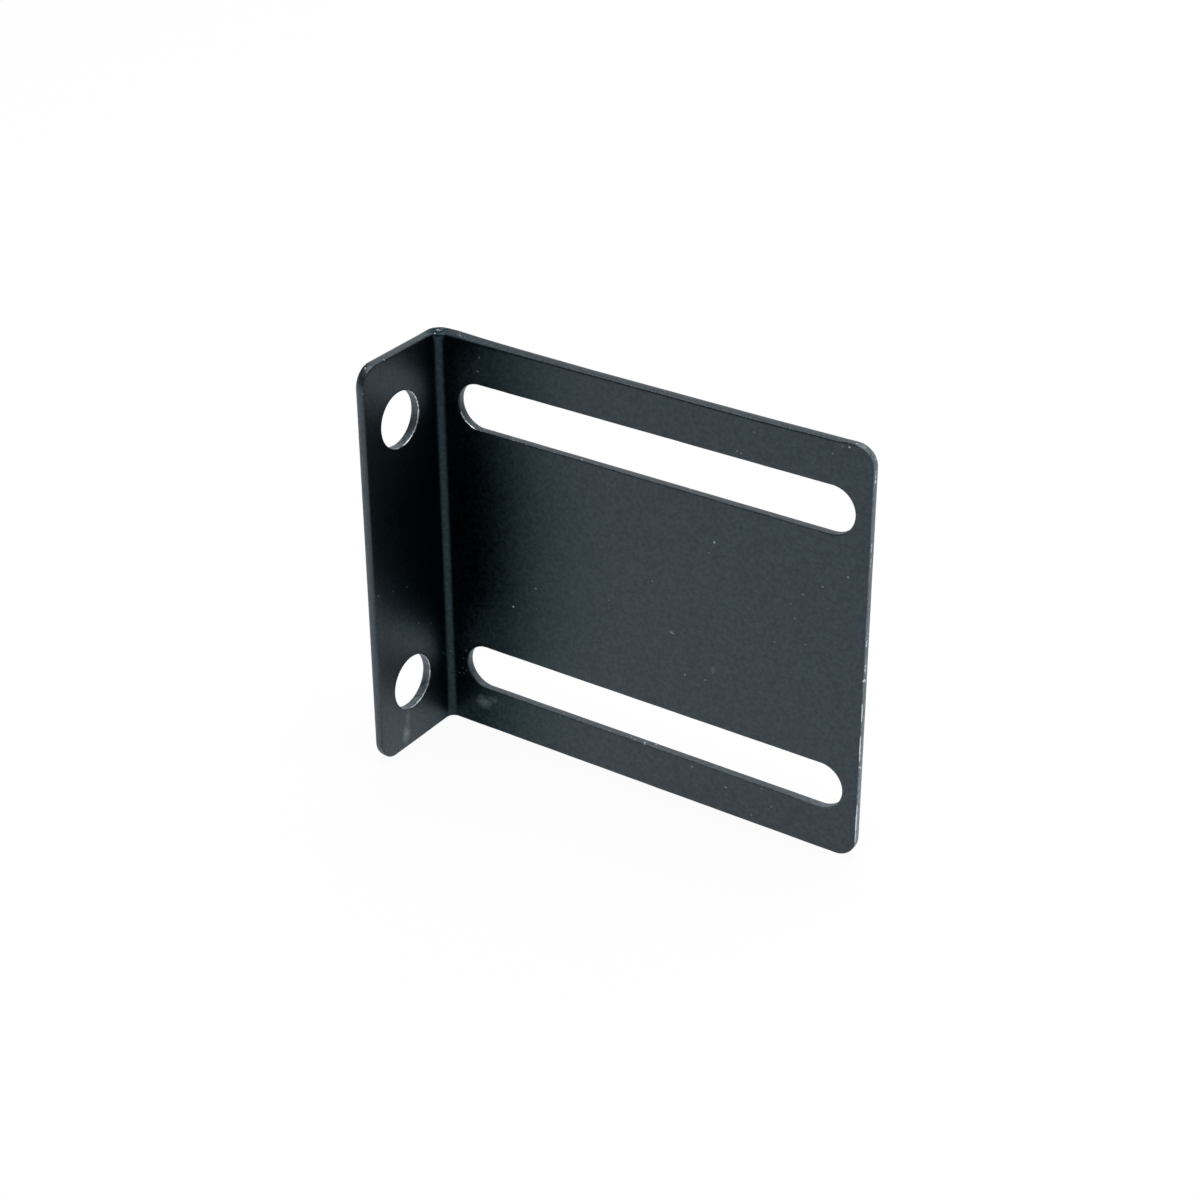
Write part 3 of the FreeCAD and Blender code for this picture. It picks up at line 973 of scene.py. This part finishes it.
def floor_material():
    """White to the camera and in reflections, all but a share that keeps the shadow."""
    material = bpy.data.materials.new("pale_floor")
    material.use_nodes = True
    g = Graph(material.node_tree)
    path = g.add("LightPath")
    share = g.math("MULTIPLY", path.outputs["Is Camera Ray"], FLOOR_SEEN_WHITE)
    for name in ("Is Glossy Ray", "Is Transmission Ray"):
        share = g.math("MULTIPLY_ADD", path.outputs[name], FLOOR_REFLECTED_WHITE, share)
    white = g.add("Emission", {"Color": WHITE, "Strength": 1.0})
    matt = g.add("BsdfDiffuse", {"Color": FLOOR_GREY})
    both = g.add("MixShader", {0: share, 1: matt.outputs[0], 2: white.outputs[0]})
    g.add("OutputMaterial", {"Surface": both.outputs[0]})
    return material


def make_floor():
    """The floor, at the coat's lower edge."""
    height = (LOW[2] - OUTLINE_COAT) * MM
    signs = ((-1, -1), (1, -1), (1, 1), (-1, 1))
    mesh = bpy.data.meshes.new("floor")
    mesh.from_pydata([(x * FLOOR_REACH, y * FLOOR_REACH, height) for x, y in signs], [], [(0, 1, 2, 3)])
    mesh.materials.append(floor_material())
    floor = add_object("floor", mesh)


def make_world():
    """A dim room that is white to the camera."""
    world = bpy.data.worlds.new("studio")
    bpy.context.scene.world = world
    world.use_nodes = True
    g = Graph(world.node_tree)
    path = g.add("LightPath")
    room = g.add("Background", {"Color": WHITE, "Strength": ROOM_LIGHT})
    white = g.add("Background", {"Color": WHITE, "Strength": 1.0})
    both = g.add("MixShader", {0: path.outputs["Is Camera Ray"], 1: room.outputs[0], 2: white.outputs[0]})
    g.add("OutputWorld", {"Surface": both.outputs[0]})


def add_panel(name, direction, distance, size, radiance):
    """A flat lamp that faces the part."""
    data = bpy.data.lights.new(name, "AREA")
    data.shape = "RECTANGLE"
    data.size, data.size_y = size
    data.energy = radiance * math.pi * size[0] * size[1]
    towards = Vector(direction).normalized()
    panel = add_object(name, data)
    panel.location = towards * distance
    panel.rotation_mode = "QUATERNION"
    panel.rotation_quaternion = towards.to_track_quat("Z", "Y")
    panel.visible_camera = False


def make_studio():
    bpy.context.scene.view_settings.view_transform = "Standard"
    make_floor()
    make_world()
    for panel in PANELS:
        add_panel(*panel)


make_camera()
make_studio()
bracket = add_object("bracket_sheet", bracket_mesh())
bracket.data.materials.append(coat_material())
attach(bracket, "root")
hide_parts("bracket")
